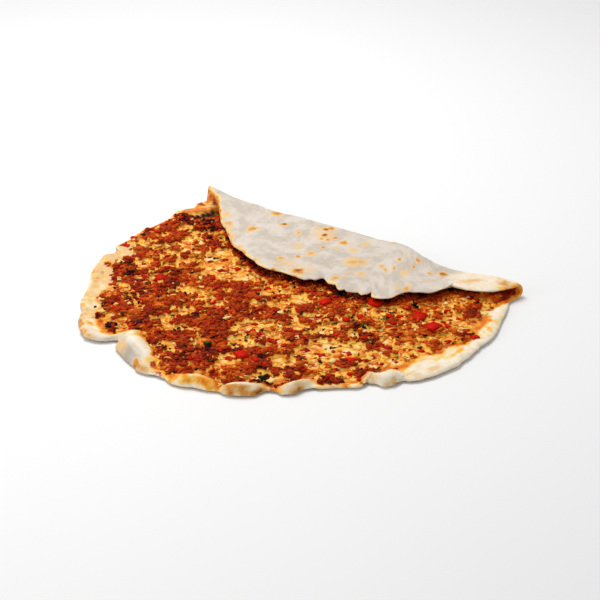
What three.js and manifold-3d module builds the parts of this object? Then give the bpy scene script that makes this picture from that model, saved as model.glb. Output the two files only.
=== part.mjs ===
// Lahmacun: a thin round flatbread spread with a minced topping, one side folded back over the top.
// Millimetres, +Z up, resting on its flat underside, with the origin under the middle of its plan.
// The bread is drawn as a flat sheet in the crease's own frame (X along the crease, Y towards the part
// that folds over), then its rim is turned up, the sheet is folded, and the whole is turned to its place.

import * as THREE from 'three';
import { mergeVertices } from 'three/addons/utils/BufferGeometryUtils.js';
import Module from 'manifold-3d';

// The round of bread
const DISC_RADIUS = 144;
const DISC_CENTRE = [-3.5, 7.5];
const CREASE_BEARING = -33.5;
const CREASE_OFFSET = 72;
const DOUGH = 2.6;
const RIM_SWELL = 0.8;
const SWELL_REACH = 5;
const EDGE_ROUND = 2;
const FLAP_EDGE_ROUND = 6;

// Bulges and hollows of the outline: bearing from the crease in degrees, half its spread, how far out
const BULGES = [
  { at: 8, half: 22, out: 3 },
  { at: 12, half: 12, out: -1 },
  { at: 34.5, half: 12.5, out: 11 },
  { at: 52, half: 5, out: 3 },
  { at: 70, half: 15, out: 5 },
  { at: 88, half: 36, out: 11.5 },
  { at: 119, half: 9, out: 3 },
  { at: 134, half: 9, out: -2 },
  { at: 146, half: 6.2, out: 7 },
  { at: 153.6, half: 2.4, out: 3 },
  { at: 157.5, half: 3.5, out: -3 },
  { at: 177, half: 18, out: -7 },
  { at: 178.5, half: 4, out: 2 },
  { at: 193.8, half: 3, out: -8.5 },
  { at: 202, half: 20, out: -2 },
  { at: 219.5, half: 3.5, out: -0.5 },
  { at: 224, half: 3.2, out: 3 },
  { at: 228.5, half: 2.8, out: 4.5 },
  { at: 232.7, half: 2, out: -2 },
  { at: 238.5, half: 9.5, out: 9.5 },
  { at: 240, half: 2.4, out: 4 },
  { at: 243.2, half: 1.4, out: -4 },
  { at: 246, half: 2.4, out: 2.5 },
  { at: 248.5, half: 2.4, out: -5 },
  { at: 257, half: 10, out: 3 },
  { at: 264.5, half: 3.4, out: 2.5 },
  { at: 274, half: 21, out: 5 },
  { at: 278, half: 7.5, out: 2.3 },
  { at: 290.5, half: 6.2, out: 4 },
  { at: 296.8, half: 3.2, out: -3.5 },
  { at: 302, half: 5, out: -0.5 },
  { at: 306.5, half: 3, out: -2 },
  { at: 311.5, half: 9.5, out: -4.2 },
  { at: 320.6, half: 2, out: -2 },
  { at: 322.6, half: 2.6, out: -5.5 },
  { at: 326.3, half: 5, out: 2 },
  { at: 329.9, half: 2, out: -3 },
  { at: 344.5, half: 13, out: 7 },
];

// Tears in the rim of the folded part
const TEARS = [
  { at: 82, half: 2.6, depth: 10 },
  { at: 69, half: 2, depth: 4 },
  { at: 43.2, half: 2.6, depth: 14 },
];

// Stretches of rim that turn up: how wide a strip, and by how many degrees
const REST_LIP = { width: 4, turn: 8 };
const LIPS = [
  { at: 88, half: 64, width: 10, turn: 8 },
  { at: 157, half: 13, width: 5, turn: 8 },
  { at: 208, half: 26, width: 14, turn: 10 },
  { at: 240, half: 9, width: 14, turn: 16 },
  { at: 356, half: 26, width: 16, turn: 12 },
];

// Stretches of rim that have puffed up: how far from the edge they start, their width and height
const PUFFS = [
  { at: 228, half: 7, start: 0, width: 10, height: 2 },
  { at: 240, half: 6, start: 0, width: 13, height: 3.2 },
  { at: 256, half: 10.5, start: 0, width: 24, height: 8 },
  { at: 278.5, half: 6.8, start: 0, width: 13, height: 6.2 },
  { at: 290.8, half: 6.4, start: 0, width: 13, height: 6.6 },
  { at: 304, half: 5.8, start: 0, width: 12, height: 6.4 },
  { at: 326, half: 5.8, start: 0, width: 16, height: 5.4 },
  { at: 345, half: 11, start: 0, width: 13, height: 1.6 },
  { at: 8, half: 10, start: 2, width: 12, height: 1.6 },
];
const PUFF_CREST = 0.4;

// The rim that the topping leaves bare: its usual width, and stretches where it is wider
const BARE_RIM = 2.6;
const BARE_STRETCHES = [
  { at: 88, half: 62, width: 14 },
  { at: 154, half: 10, width: 27 },
  { at: 197, half: 5.5, width: 13 },
  { at: 210, half: 8, width: 12 },
  { at: 228, half: 8, width: 6.5 },
  { at: 238.5, half: 7.5, width: 13 },
  { at: 256, half: 11.5, width: 24 },
  { at: 278.5, half: 7.6, width: 13.5 },
  { at: 290.8, half: 7.2, width: 13.5 },
  { at: 304, half: 6.6, width: 12.5 },
  { at: 326, half: 6.6, width: 16.5 },
  { at: 342, half: 18, width: 16 },
  { at: 6, half: 18, width: 10.5 },
];

// The fold: its loop's radius, which opens towards the left ear and closes towards the right end
const LOOP_RADIUS = 5.7;
const LOOP_CHANGES = [
  { from: -95, to: -130, change: 3.2 },
  { from: 35, to: 95, change: -2.4 },
  { from: 98, to: 118, change: 0.7 },
];
const CREASE_BOWS = [
  { at: -62, half: 20, back: -2.5 },
  { at: 42, half: 20, back: 2.5 },
  { at: 80, half: 36, back: -6 },
];
const FLAP_HEIGHT = 10.9;
const FLAP_SETTLE = 40;
const FLAP_SINK = { from: 95, to: 128, depth: 1 };
const FLAP_WAVES = [
  { height: 0.7, along: 0.052, across: 0.03, phase: 0.6 },
  { height: 0.4, along: 0.097, across: -0.06, phase: 2.1 },
];
const EAR_RIDGE = { from: [-128, -27], to: [-114, -15.5], height: 4.2, half: 6.8 };

// The minced topping
const TOPPING = 2.1;
const TOPPING_LUMPS = 0.45;
const TOPPING_GAP = 0.8;
const CLEARANCE = 0.35;
const LOOP_SPARE = 2.05;
const EDGE_TAPER = 5;
const EDGE_LIFT = 0.45;
const THINNEST = 0.12;

// Patches where the dough shows through the topping
const BARE_PATCHES = [
  { at: [64, -136], size: [15, 8], turn: 33 },
  { at: [16, -145], size: [12, 7], turn: 33 },
  { at: [-30, -88], size: [12, 6], turn: 33 },
  { at: [-4, -101], size: [13, 4.5], turn: -18 },
  { at: [81, -82], size: [9, 5], turn: 120 },
  { at: [113, -70], size: [8, 5], turn: 120 },
  { at: [66, -114], size: [7, 5], turn: 33 },
  { at: [-39, -158], size: [12, 5], turn: 33 },
  { at: [-73, -79], size: [14, 7], turn: 33 },
  { at: [17, -176], size: [9, 5], turn: 70 },
  { at: [108, -114], size: [12, 6], turn: 55 },
  { at: [-94, -108], size: [9, 5], turn: 100 },
];

// Dice of pepper and lumps of mince, the largest first
const CRUMBS = 54;
const CRUMB_PLACES = 151;
const CRUMB_STRIDE = 61;
const CRUMB_REACH = 138;
const CRUMB_SIZE = [4.4, 2.4];
const CRUMB_HEIGHT = 1.9;
const CRUMB_SEED = 11;

const RADIANS = Math.PI / 180;
const clamp = (x, low, high) => Math.min(high, Math.max(low, x));
const mix = (a, b, t) => a + (b - a) * t;

function smooth(from, to, x) {
  const t = clamp((x - from) / (to - from), 0, 1);
  return t * t * (3 - 2 * t);
}

// 1 over most of a stretch, falling to 0 at its ends
function plateau(away) {
  return away < 1 ? (1 - away ** 4) ** 2 : 0;
}

function swellAt(bearing, { at, half }) {
  return plateau(Math.abs(((bearing - at + 540) % 360) - 180) / half);
}

function lipAt(bearing) {
  let { width, turn } = REST_LIP;
  for (const lip of LIPS) {
    const share = swellAt(bearing, lip);
    width += share * (lip.width - REST_LIP.width);
    turn += share * (lip.turn - REST_LIP.turn);
  }
  const angle = turn * RADIANS;
  return { width, angle, curl: width / angle };
}

function bareWidth(bearing) {
  const widths = BARE_STRETCHES.map((stretch) => mix(BARE_RIM, stretch.width, swellAt(bearing, stretch)));
  return Math.max(...widths);
}

// The rim's radius before it is turned up: what the turned edge draws in is added to the outline
function sheetRadius(bearing) {
  const a = bearing * RADIANS;
  let radius = DISC_RADIUS + 0.8 * Math.sin(a * 11 + 1) + 0.5 * Math.sin(a * 23);
  for (const bulge of BULGES) radius += bulge.out * swellAt(bearing, bulge);
  for (const tear of TEARS) {
    const away = Math.abs(bearing - tear.at) / tear.half;
    radius -= tear.depth * Math.max(0, 1 - away);
  }
  const { width, angle, curl } = lipAt(bearing);
  return radius + width - curl * Math.sin(angle);
}

function bearingOf(s, e) {
  return (Math.atan2(e + CREASE_OFFSET, s) / RADIANS + 360) % 360;
}

function insetFrom(radiusAt, s, e) {
  return radiusAt(bearingOf(s, e)) - Math.hypot(s, e + CREASE_OFFSET);
}

function loopRadius(s) {
  return LOOP_CHANGES.reduce((radius, { from, to, change }) => radius + change * smooth(from, to, s), LOOP_RADIUS);
}

function creaseBow(s) {
  return CREASE_BOWS.reduce((bow, { at, half, back }) => {
    const away = (s - at) / half;
    return bow + back * Math.max(0, 1 - away * away) ** 2;
  }, 0);
}

// How far the rim has puffed up: round at its outer side, sloping down inwards
function puffing(s, e) {
  const bearing = bearingOf(s, e);
  const inset = insetFrom(sheetRadius, s, e);
  return Math.max(0, ...PUFFS.map((puff) => {
    const t = clamp((inset - puff.start) / puff.width, 0, 1);
    const outer = Math.sqrt(Math.max(0, 1 - (1 - t / PUFF_CREST) ** 2));
    const inner = 0.5 + 0.5 * Math.cos(Math.PI * (t - PUFF_CREST) / (1 - PUFF_CREST));
    return puff.height * swellAt(bearing, puff) * (t < PUFF_CREST ? outer : inner);
  }));
}

// The wrinkle that runs in from the rim beside the left ear
function earRidge(s, e) {
  const [ax, ay] = EAR_RIDGE.from;
  const [bx, by] = EAR_RIDGE.to;
  const along = ((s - ax) * (bx - ax) + (e - ay) * (by - ay)) / ((bx - ax) ** 2 + (by - ay) ** 2);
  const t = clamp(along, 0, 1);
  const away = Math.hypot(s - mix(ax, bx, t), e - mix(ay, by, t)) / EAR_RIDGE.half;
  return EAR_RIDGE.height * Math.max(0, 1 - away * away) ** 2;
}

// Lays a point of the flat sheet on the folded bread. s runs along the crease, e past it over the
// folded part, and offset is the distance from the sheet's middle towards the topping.
function lay(s, e, offset) {
  const bearing = bearingOf(s, e);
  const reach = Math.hypot(s, e + CREASE_OFFSET);
  const lip = lipAt(bearing);
  const inset = sheetRadius(bearing) - reach;
  let out = reach;
  let up = offset;
  if (inset < lip.width) {
    const turned = (lip.width - inset) / lip.curl;
    out = reach + inset - lip.width + (lip.curl - offset) * Math.sin(turned);
    up = lip.curl - (lip.curl - offset) * Math.cos(turned);
  }
  const x = out * Math.cos(bearing * RADIANS);
  const y = out * Math.sin(bearing * RADIANS) - CREASE_OFFSET;
  const middle = DOUGH / 2;
  const radius = loopRadius(x);
  const bend = creaseBow(x) - radius;
  const past = y - bend;
  if (past <= 0) return [x, y, middle + up + earRidge(x, y)];
  if (past < Math.PI * radius) {
    const arm = radius - up;
    const turn = past / radius;
    return [x, bend + arm * Math.sin(turn), middle + radius - arm * Math.cos(turn)];
  }
  const back = past - Math.PI * radius;
  const settled = smooth(0, FLAP_SETTLE, back);
  const sunk = smooth(FLAP_SINK.from, FLAP_SINK.to, x);
  let height = mix(middle + 2 * radius, FLAP_HEIGHT - FLAP_SINK.depth * sunk, settled);
  for (const wave of FLAP_WAVES) {
    height += wave.height * settled * (1 - sunk) * Math.sin(wave.along * x + wave.across * back + wave.phase);
  }
  return [x, bend - back, height - up];
}

// Shares of a length, with the steps next to an edge given in millimetres
function steps(count, length, startSteps, endSteps) {
  const start = startSteps.map((d) => d / length);
  const end = endSteps.map((d) => 1 - d / length).reverse();
  const from = start.length ? start[start.length - 1] : 0;
  const to = end.length ? end[0] : 1;
  const between = Array.from({ length: count + 1 }, (_, i) => mix(from, to, i / count));
  return [...start.slice(0, -1), ...between, ...end.slice(1)];
}

// Bearings where the grid's sides meet its front and back, and where the straight rows of the fold lie
const CORNERS = { leftFront: 222, rightFront: 338, leftBack: 122, rightBack: 55.5 };
const FOLD_START = -10.5;
const FOLD_END = 17.5;

// The bearing at which the rim passes a given distance from the crease, on the right or left side
function rimBearing(e, radiusAt, rightSide) {
  let low = rightSide ? -20 : 110;
  let high = rightSide ? 70 : 200;
  for (let i = 0; i < 40; i += 1) {
    const mid = (low + high) / 2;
    const height = radiusAt((mid + 360) % 360) * Math.sin(mid * RADIANS) - CREASE_OFFSET;
    if (height < e === rightSide) low = mid;
    else high = mid;
  }
  return (low + high) / 2;
}

// A grid over the flat sheet whose border is the rim and whose middle rows lie straight along the fold
function sheetGrid(radiusAt, columns, [frontRows, foldRows, backRows]) {
  const rim = (bearing) => {
    const radius = radiusAt((bearing + 720) % 360);
    return [radius * Math.cos(bearing * RADIANS), radius * Math.sin(bearing * RADIANS) - CREASE_OFFSET];
  };
  const patch = (near, far, left, right, u, v) => [0, 1].map((k) => {
    const corners = mix(mix(near(0)[k], near(1)[k], u), mix(far(0)[k], far(1)[k], u), v);
    return mix(near(u)[k], far(u)[k], v) + mix(left(v)[k], right(v)[k], u) - corners;
  });
  const ends = (e) => [rimBearing(e, radiusAt, false), rimBearing(e, radiusAt, true)];
  const chord = ([left, right]) => {
    const a = rim(left);
    const b = rim(right);
    return (u) => [mix(a[0], b[0], u), mix(a[1], b[1], u)];
  };
  const start = ends(FOLD_START);
  const end = ends(FOLD_END);
  const { leftFront, rightFront, leftBack, rightBack } = CORNERS;
  const front = (u) => rim(mix(leftFront, rightFront, u));
  const back = (u) => rim(mix(leftBack, rightBack, u));
  const rows = [];
  for (const v of frontRows.slice(0, -1)) {
    const left = (t) => rim(mix(leftFront, start[0], t));
    const right = (t) => rim(mix(rightFront, start[1] + 360, t));
    rows.push(columns.map((u) => patch(front, chord(start), left, right, u, v)));
  }
  for (const v of foldRows) {
    const row = chord(ends(mix(FOLD_START, FOLD_END, v)));
    rows.push(columns.map(row));
  }
  for (const v of backRows.slice(1)) {
    const left = (t) => rim(mix(end[0], leftBack, t));
    const right = (t) => rim(mix(end[1], rightBack, t));
    rows.push(columns.map((u) => patch(chord(end), back, left, right, u, v)));
  }
  return rows;
}

function closedMesh(points, triangles) {
  const geometry = new THREE.BufferGeometry();
  geometry.setAttribute('position', new THREE.Float32BufferAttribute(points.flat(), 3));
  geometry.setIndex(triangles);
  geometry.computeVertexNormals();
  return geometry;
}

// A closed layer over the grid: its two faces share the rim's points
function layer(rows, faces) {
  const points = [];
  const last = rows.length - 1;
  const wide = rows[0].length - 1;
  const index = [[], []];
  rows.forEach((row, j) => row.forEach(([s, e], i) => {
    const onRim = j === 0 || j === last || i === 0 || i === wide;
    const [top, bottom] = faces(s, e, onRim);
    const key = j * (wide + 1) + i;
    index[0][key] = points.length;
    points.push(lay(s, e, top));
    if (!onRim) points.push(lay(s, e, bottom));
    index[1][key] = points.length - 1;
  }));
  const triangles = [];
  for (let j = 0; j < last; j += 1) {
    for (let i = 0; i < wide; i += 1) {
      const [a, b] = [j * (wide + 1) + i, j * (wide + 1) + i + 1];
      const [d, c] = [a + wide + 1, b + wide + 1];
      const falling = (i === wide - 1 && j === 0) || (i === 0 && j === last - 1);
      const cell = falling ? [[a, b, d], [b, c, d]] : [[a, b, c], [a, c, d]];
      for (const [p, q, r] of cell) {
        triangles.push(index[0][p], index[0][q], index[0][r]);
        triangles.push(index[1][p], index[1][r], index[1][q]);
      }
    }
  }
  return closedMesh(points, triangles);
}

function doughFaces(s, e, onRim) {
  if (onRim) return [0, 0];
  const inset = insetFrom(sheetRadius, s, e);
  const folded = smooth(FOLD_END, FOLD_END + 20, e);
  const edge = mix(EDGE_ROUND, FLAP_EDGE_ROUND, folded);
  const round = Math.sqrt(1 - (1 - clamp(inset / edge, 0.05, 1)) ** 2);
  const swell = RIM_SWELL * (1 - folded) * Math.exp(-((inset / SWELL_REACH) ** 2));
  return [(DOUGH / 2 + swell) * round + puffing(s, e), -DOUGH / 2 * round];
}

function doughLayer(faces) {
  const edge = [0, 0.6, 2, 5, 9.5, 15, 22];
  const columns = steps(32, 280, edge, edge);
  const rows = [steps(8, 216, edge, []), steps(9, 1, [], []), steps(5, 76, [], edge)];
  return layer(sheetGrid(sheetRadius, columns, rows), faces);
}

// The dough with a thin skin of air over its upper side, which the topping keeps out of
function doughWithClearance() {
  return doughLayer((s, e, onRim) => {
    const [top, bottom] = doughFaces(s, e, onRim);
    return [top + CLEARANCE, bottom];
  });
}

// Where the topping ends: a little inside the bare rim, unevenly
function toppingRadius(bearing) {
  const a = bearing * RADIANS;
  const uneven = 0.7 * Math.sin(a * 17 + 0.5) + 0.6 * Math.sin(a * 29 + 2) + 0.4 * Math.sin(a * 47);
  return sheetRadius(bearing) - bareWidth(bearing) + uneven;
}

function lumps(s, e) {
  return Math.sin(0.31 * s + 0.8 * Math.sin(0.17 * e)) * Math.sin(0.27 * e + 0.9 * Math.sin(0.21 * s))
    + 0.6 * Math.sin(0.55 * s + 0.4) * Math.sin(0.48 * e + 1.3);
}

function toppingThickness(s, e) {
  const room = Math.min(TOPPING, loopRadius(s) - LOOP_SPARE);
  const open = 1 - smooth(-24, -10, e);
  return mix(Math.min(room, 1.7), room + TOPPING_LUMPS * lumps(s, e), open);
}

function toppingFaces(s, e, onRim) {
  const base = doughFaces(s, e, false)[0] + TOPPING_GAP;
  const thin = onRim ? 0 : Math.max(THINNEST, smooth(-1, EDGE_TAPER, insetFrom(toppingRadius, s, e)));
  const lift = EDGE_LIFT * (1 - thin);
  return [base + lift + toppingThickness(s, e) * thin, base + lift];
}

// A wavy upright plug that opens a bare patch in the topping
function patchPlug({ at, size, turn }) {
  const outline = [];
  for (let i = 0; i < 14; i += 1) {
    const a = (i / 14) * 2 * Math.PI;
    const wave = 1 + 0.22 * Math.sin(3 * a + at[0]) + 0.14 * Math.sin(5 * a + at[1]);
    outline.push(new THREE.Vector2(size[0] * wave * Math.cos(a), size[1] * wave * Math.sin(a)));
  }
  const plug = new THREE.ExtrudeGeometry(new THREE.Shape(outline), { depth: 5, bevelEnabled: false });
  plug.rotateZ(turn * RADIANS);
  plug.translate(at[0], at[1], DOUGH);
  return plug;
}

function insidePatch(s, e, spare) {
  return BARE_PATCHES.some(({ at, size, turn }) => {
    const [dx, dy] = [s - at[0], e - at[1]];
    const [c, w] = [Math.cos(turn * RADIANS), Math.sin(turn * RADIANS)];
    const along = (dx * c + dy * w) / (size[0] * 1.3 + spare);
    const across = (dy * c - dx * w) / (size[1] * 1.3 + spare);
    return along ** 2 + across ** 2 < 1;
  });
}

function seededDraw(seed) {
  let state = seed;
  return () => {
    state = (Math.imul(state, 1664525) + 1013904223) >>> 0;
    return state / 2 ** 32;
  };
}

// Dice and lumps that stand out of the topping, spread evenly over its open part
function crumbs() {
  const draw = seededDraw(CRUMB_SEED);
  const golden = Math.PI * (3 - Math.sqrt(5));
  const found = [];
  for (let k = 0; found.length < CRUMBS && k < CRUMB_PLACES; k += 1) {
    const place = (k * CRUMB_STRIDE) % CRUMB_PLACES;
    const reach = CRUMB_REACH * Math.sqrt((place + 0.5) / CRUMB_PLACES);
    const s = reach * Math.cos(place * golden) + 3 * (draw() - 0.5);
    const e = reach * Math.sin(place * golden) + 3 * (draw() - 0.5) - CREASE_OFFSET;
    const size = mix(...CRUMB_SIZE, found.length / CRUMBS);
    const inside = insetFrom(toppingRadius, s, e) > size + EDGE_TAPER;
    const covered = e > -84 && Math.abs(s) < Math.sqrt(Math.max(0, 155 ** 2 - (e - CREASE_OFFSET) ** 2));
    if (!inside || covered || insidePatch(s, e, size)) continue;
    const shape = found.length % 2 ? new THREE.BoxGeometry(2, 1.5, 1.2) : new THREE.IcosahedronGeometry(1, 0);
    const tall = Math.min(size * 0.6, CRUMB_HEIGHT);
    shape.scale(size, size * 0.9, tall);
    shape.rotateX(0.25 * (draw() - 0.5));
    shape.rotateZ(draw() * Math.PI);
    shape.translate(s, e, DOUGH + TOPPING_GAP + Math.max(toppingThickness(s, e), tall));
    found.push(shape);
  }
  return found;
}

function solidOf(wasm, geometry) {
  const bare = geometry.clone();
  bare.deleteAttribute('normal');
  bare.deleteAttribute('uv');
  const merged = mergeVertices(bare, 1e-4);
  return new wasm.Manifold(new wasm.Mesh({
    numProp: 3,
    vertProperties: new Float32Array(merged.attributes.position.array),
    triVerts: new Uint32Array(merged.index.array),
  }));
}

function geometryOf(solid) {
  const { numProp, vertProperties, triVerts } = solid.getMesh();
  const points = [];
  for (let i = 0; i < vertProperties.length; i += numProp) points.push([...vertProperties.slice(i, i + 3)]);
  return closedMesh(points, [...triVerts]);
}

async function toppingGeometry() {
  const wasm = await Module();
  wasm.setup();
  const edge = [0, 0.6, 2, 5];
  const columns = steps(30, 262, edge, edge);
  const rows = [steps(13, 200, edge, []), steps(9, 1, [], []), steps(4, 66, [], edge)];
  let topping = solidOf(wasm, layer(sheetGrid(toppingRadius, columns, rows), toppingFaces));
  for (const patch of BARE_PATCHES) topping = topping.subtract(solidOf(wasm, patchPlug(patch)));
  for (const crumb of crumbs()) topping = topping.add(solidOf(wasm, crumb));
  topping = topping.subtract(solidOf(wasm, doughWithClearance()));
  const [whole] = topping.decompose().sort((a, b) => b.volume() - a.volume());
  return geometryOf(whole);
}

function named(name, geometry, color, roughness) {
  const material = new THREE.MeshStandardMaterial({ color, roughness, metalness: 0 });
  const mesh = new THREE.Mesh(geometry, material);
  mesh.name = name;
  return mesh;
}

const lahmacun = new THREE.Group();
lahmacun.add(named('dough', doughLayer(doughFaces), '#e9cfa6', 0.85));
lahmacun.add(named('mince_topping', await toppingGeometry(), '#a8451f', 0.55));
for (const mesh of lahmacun.children) mesh.position.y = CREASE_OFFSET;
lahmacun.rotation.z = CREASE_BEARING * RADIANS;
lahmacun.position.set(DISC_CENTRE[0], DISC_CENTRE[1], 0);

export default lahmacun;
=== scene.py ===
# The looks of a folded lahmacun: baked dough with toasted spots, oil and blisters, a spread of minced
# meat with bare oily patches, and pepper, onion, herbs and roasted bits strewn over it.
# Places on the bread are in millimetres of the flat sheet, as it was before it was folded: s runs along
# the crease, e past it over the folded part, and an offset is the distance from the sheet's middle
# towards the topping. Bearings are degrees around the sheet's centre, from the crease's direction. Everything
# is turned to metres only when a mesh is made.

import collections
import functools
import math

import bpy
import numpy as np
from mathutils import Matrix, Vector


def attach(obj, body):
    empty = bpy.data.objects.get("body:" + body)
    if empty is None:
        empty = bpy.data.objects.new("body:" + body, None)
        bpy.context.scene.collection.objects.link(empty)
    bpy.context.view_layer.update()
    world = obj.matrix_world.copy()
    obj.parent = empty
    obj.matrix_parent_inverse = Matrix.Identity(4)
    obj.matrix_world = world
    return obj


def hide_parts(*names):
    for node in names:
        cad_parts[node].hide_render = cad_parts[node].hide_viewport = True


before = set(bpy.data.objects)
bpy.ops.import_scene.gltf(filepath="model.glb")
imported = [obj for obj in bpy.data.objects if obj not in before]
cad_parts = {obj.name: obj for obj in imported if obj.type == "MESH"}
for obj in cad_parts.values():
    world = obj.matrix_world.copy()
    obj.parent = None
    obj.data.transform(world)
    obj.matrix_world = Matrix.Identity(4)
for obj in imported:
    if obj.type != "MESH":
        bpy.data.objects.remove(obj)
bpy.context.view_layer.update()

MM = 0.001

# The round of bread: its radius and centre, and the crease's direction and distance from the centre
DISC_RADIUS = 144
DISC_CENTRE = (-3.5, 7.5)
CREASE_BEARING = math.radians(-33.5)
CREASE_OFFSET = 72
# The dough: its thickness, how much its rim swells and how far in, and the width over which its edge is
# rounded, on the open part and on the folded one
DOUGH = 2.6
RIM_SWELL = 0.35
SWELL_REACH = 5
EDGE_ROUND = 4
FLAP_EDGE = 6

# Bulges and hollows of the outline: bearing, half its spread in degrees, how far out
BULGES = [
    (8, 22, 3), (12, 12, -1), (35, 13, 12.8), (52, 5, 3), (56.5, 5, -4), (71, 15, 1), (71.4, 2, 4),
    (75.2, 3.2, 8), (84, 2.2, -3.5), (88, 37, 13.5), (97.5, 4.5, 2), (113.5, 8, -3.8), (122, 10, 2),
    (134, 8, -1), (146, 6.2, 7), (153.6, 2.4, 3), (157.5, 3.5, -3), (158, 9, 2), (177, 18, -7),
    (178.5, 4, 2), (186, 7, 2.2), (193.8, 3.4, -6), (202, 20, -2), (219.5, 3.5, -0.5), (227, 6, 3.5),
    (238.5, 9.5, 9.5), (240.5, 3, 2), (244.5, 3.5, 3), (248.5, 2.4, -4), (257, 10, 3), (264.5, 3.4, 2.5),
    (274, 21, 5), (274.5, 4, 2), (278, 7.5, 2.3), (290.5, 6.2, 4), (296.8, 3.2, -3.5), (302, 5, -0.5),
    (306.5, 3, -2), (311.5, 9.5, -4.2), (320.6, 2, -2), (322.6, 2.6, -5.5), (326.3, 5, 2),
    (329.9, 2, -3), (332, 4, 1.7), (344.5, 13, 7), (351, 5, -2.4),
]
# Tears in the rim of the folded part: bearing, half the width in degrees, depth
TEARS = [(82, 1.8, 7), (80.5, 3, 3), (75.7, 0.8, 2.5), (68.1, 0.8, 5), (47, 4.5, 4), (45.4, 1.6, 10)]
# The rim that turns up: its usual width and turn in degrees, then bearing, half the spread, width and turn
REST_LIP = (4, 8)
LIPS = [(88, 64, 10, 8), (157, 13, 5, 8), (208, 26, 14, 8), (240, 9, 14, 9), (356, 26, 16, 4)]
# Stretches of rim that have puffed up: bearing, half its spread, distance from the edge, width, height
PUFFS = [
    (228, 7, 0, 10, 0.6), (240, 7, 0, 12, 1.6), (256, 11, 0, 24, 7.4), (278.5, 7.4, 0, 13, 5.4),
    (280.5, 5, 12.5, 8, 3), (290.2, 5.8, 0, 13, 5.2), (303.2, 4.6, 0, 12, 4.4), (327, 5.2, 0, 16, 5),
    (345, 11, 0, 13, 0.7), (8, 10, 2, 12, 0.8),
]
# The share of its width at which a puff is highest
PUFF_CREST = 0.4
# The rim that the topping leaves bare: its usual width, then bearing, half the spread, width there
BARE_RIM = 2.6
BARE_STRETCHES = [
    (88, 62, 14), (154, 10, 27), (196, 6, 14), (213, 12, 15), (228, 11, 13), (240, 9, 15),
    (256, 11, 21), (278, 7, 10.5), (290.8, 6.5, 10), (304, 6, 9.5), (327, 5.8, 14), (343, 15, 20),
    (6, 18, 10.5),
]
# The loop of the fold: its radius, and from and to where along the crease it changes, and by how much
LOOP_RADIUS = 5.7
LOOP_CHANGES = [(-95, -130, 3.2), (35, 95, -2.4), (98, 118, 0.7)]
# Where the loop bows out: place along the crease, half its spread, how far
CREASE_BOWS = [(-62, 20, -2.5), (42, 20, 2.5), (80, 36, -6)]
# The folded part: its height, how far past the loop it settles, from and to where along the crease it sinks
# and by how much, and its waves: height, turn for each millimetre along and across, start
FLAP_HEIGHT = 10.9
FLAP_SETTLE = 40
FLAP_SINK = (95, 128, 1)
FLAP_WAVES = [(0.7, 0.052, 0.03, 0.6), (0.4, 0.097, -0.06, 2.1)]
# The wrinkle beside the left ear: its two ends, its height and half its width
EAR_RIDGE = ((-128, -27), (-114, -15.5), 4.2, 6.8)
# The topping: its height on the open part and in the fold, what it leaves free of the loop's radius, and
# from and to where it changes from the one to the other
TOPPING, FOLDED_TOPPING = 2.1, 1.7
LOOP_SPARE = 2.05
LOOP_APPROACH = (-24, -10)
# How far its crumbs rise past that, how deep it sinks into the dough where it is thin, at its ragged edge and
# at its border, and how far its root lies below the dough's upper side and its own top
CRUMB_RISE = 0.05
SUNK_THIN, SUNK_EDGE, SUNK_BORDER = -0.5, -0.7, -0.8
ROOT_BELOW_DOUGH, ROOT_BELOW_TOP = 1.0, 0.3
# How far along the sheet the underside's pattern is fetched from, to differ from the upper side's
UNDERSIDE_SHIFT = 400.0
# The grids: the rows that lie straight along the fold, and the bearings of the corners
FOLD_START, FOLD_END = -10.5, 17.5
LEFT_FRONT, RIGHT_FRONT, LEFT_BACK, RIGHT_BACK = 222, 338, 122, 40
# The strewn things: half the field's width, how far each moves as a share of their spacing, and where they
# stop before the crease and beneath the folded part
FIELD = 150
JITTER = 0.6
STREWN_END = -9.5
STREWN_UNDER_FLAP = 12

# Where the topping is thin and oily dough shows: place, half the width across the table, half the depth
THIN_PATCHES = [
    (64, -136, 15, 8), (-113, -49, 4, 3), (-121, -80, 5, 4), (-91, -76, 8, 6), (-100, -62, 3, 3),
    (-103, -110, 5, 7), (-99, -90, 5, 4), (-79, -90, 8, 4), (-68, -75, 5, 4), (-59, -87, 10, 4),
    (-57, -64, 5, 4), (-34, -86, 14, 9), (-5, -96, 9, 6), (-83, -117, 6, 4), (-61, -133, 6, 4),
    (-25, -128, 7, 6), (-36, -152, 10, 6), (-43, -165, 7, 4), (15, -128, 4, 3), (-25, -170, 12, 2),
    (13, -142, 12, 9), (14, -165, 5, 6), (20, -185, 6, 7), (27, -161, 10, 3), (33, -149, 5, 6),
    (48, -168, 5, 5), (59, -165, 5, 6), (26, -116, 4, 7), (51, -191, 7, 3), (19, -94, 8, 7),
    (12, -107, 3, 5), (36, -125, 7, 4), (52, -120, 9, 5), (58, -106, 10, 4), (69, -114, 3, 6),
    (79, -133, 17, 9), (71, -143, 12, 9), (58, -149, 8, 6), (83, -122, 7, 4), (93, -108, 5, 6),
    (71, -71, 7, 9), (84, -74, 5, 7), (118, -108, 6, 7), (109, -110, 7, 6), (96, -51, 5, 4),
    (117, -58, 5, 10), (123, -87, 5, 4), (111, -128, 10, 6), (103, -140, 5, 4), (71, -161, 5, 7),
    (129, -110, 8, 6), (55, -156, 5, 4), (95, -132, 7, 4), (118, -26, 4, 6), (105, -54, 5, 6),
]
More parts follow.
